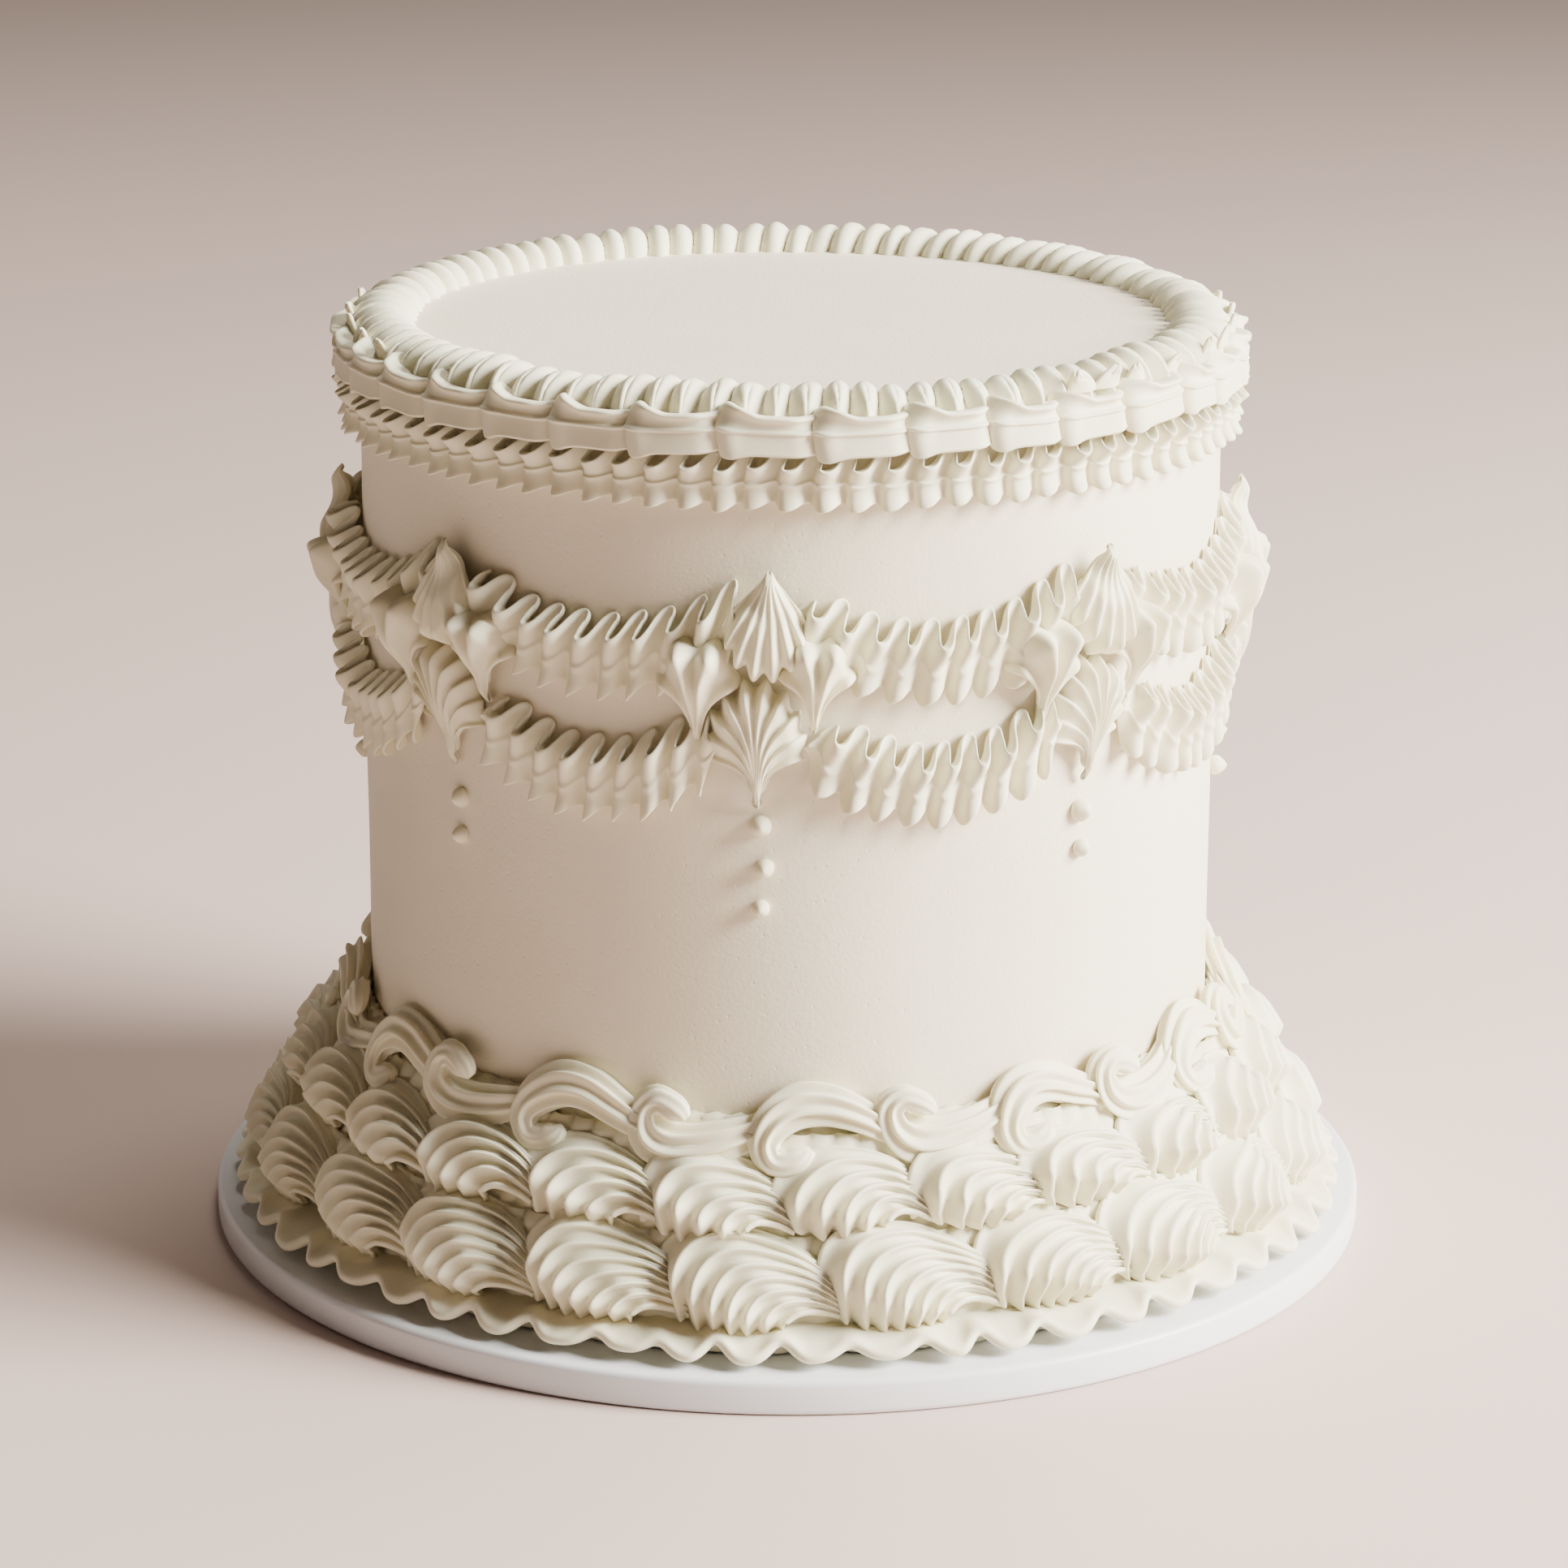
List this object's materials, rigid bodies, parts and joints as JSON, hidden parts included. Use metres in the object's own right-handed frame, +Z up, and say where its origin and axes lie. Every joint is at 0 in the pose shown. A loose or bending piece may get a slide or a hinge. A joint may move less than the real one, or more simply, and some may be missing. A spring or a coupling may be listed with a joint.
{
  "type": "lambeth cake",
  "caption": "Tall round lambeth cake in ivory piped icing on a thin round board: shell border, swags, fan ornaments and a crown round the flat top.",
  "frame": {"origin": "middle of the board's underside", "axes": "+Z up along the cake's axis, -Y towards the viewer, +X to the viewer's right"},
  "size_m": [0.204, 0.204, 0.165],
  "materials": {
    "board_white": "white foil-covered board, satin",
    "body_icing": "smooth ivory icing, matte with a fine grain",
    "piped_icing": "piped ivory icing, matte and slightly translucent"
  },
  "bodies": {
    "root": {"cake_board": "board_white", "cake_body": "body_icing", "crown_inner_rope": "piped_icing", "crown_band": "piped_icing", "crown_under_ruffle": "piped_icing", "swag_upper_0": "piped_icing", "swag_upper_1": "piped_icing", "swag_upper_2": "piped_icing", "swag_upper_3": "piped_icing", "swag_upper_4": "piped_icing", "swag_upper_5": "piped_icing", "swag_upper_6": "piped_icing", "swag_upper_7": "piped_icing", "swag_lower_0": "piped_icing", "swag_lower_1": "piped_icing", "swag_lower_2": "piped_icing", "swag_lower_3": "piped_icing", "swag_lower_4": "piped_icing", "swag_lower_5": "piped_icing", "swag_lower_6": "piped_icing", "swag_lower_7": "piped_icing", "ornament_0": "piped_icing", "ornament_1": "piped_icing", "ornament_2": "piped_icing", "ornament_3": "piped_icing", "ornament_4": "piped_icing", "ornament_5": "piped_icing", "ornament_6": "piped_icing", "ornament_7": "piped_icing", "scroll_row": "piped_icing", "shell_row_middle": "piped_icing", "shell_row_lower": "piped_icing", "base_ruffle": "piped_icing"}
  },
  "joints": []
}
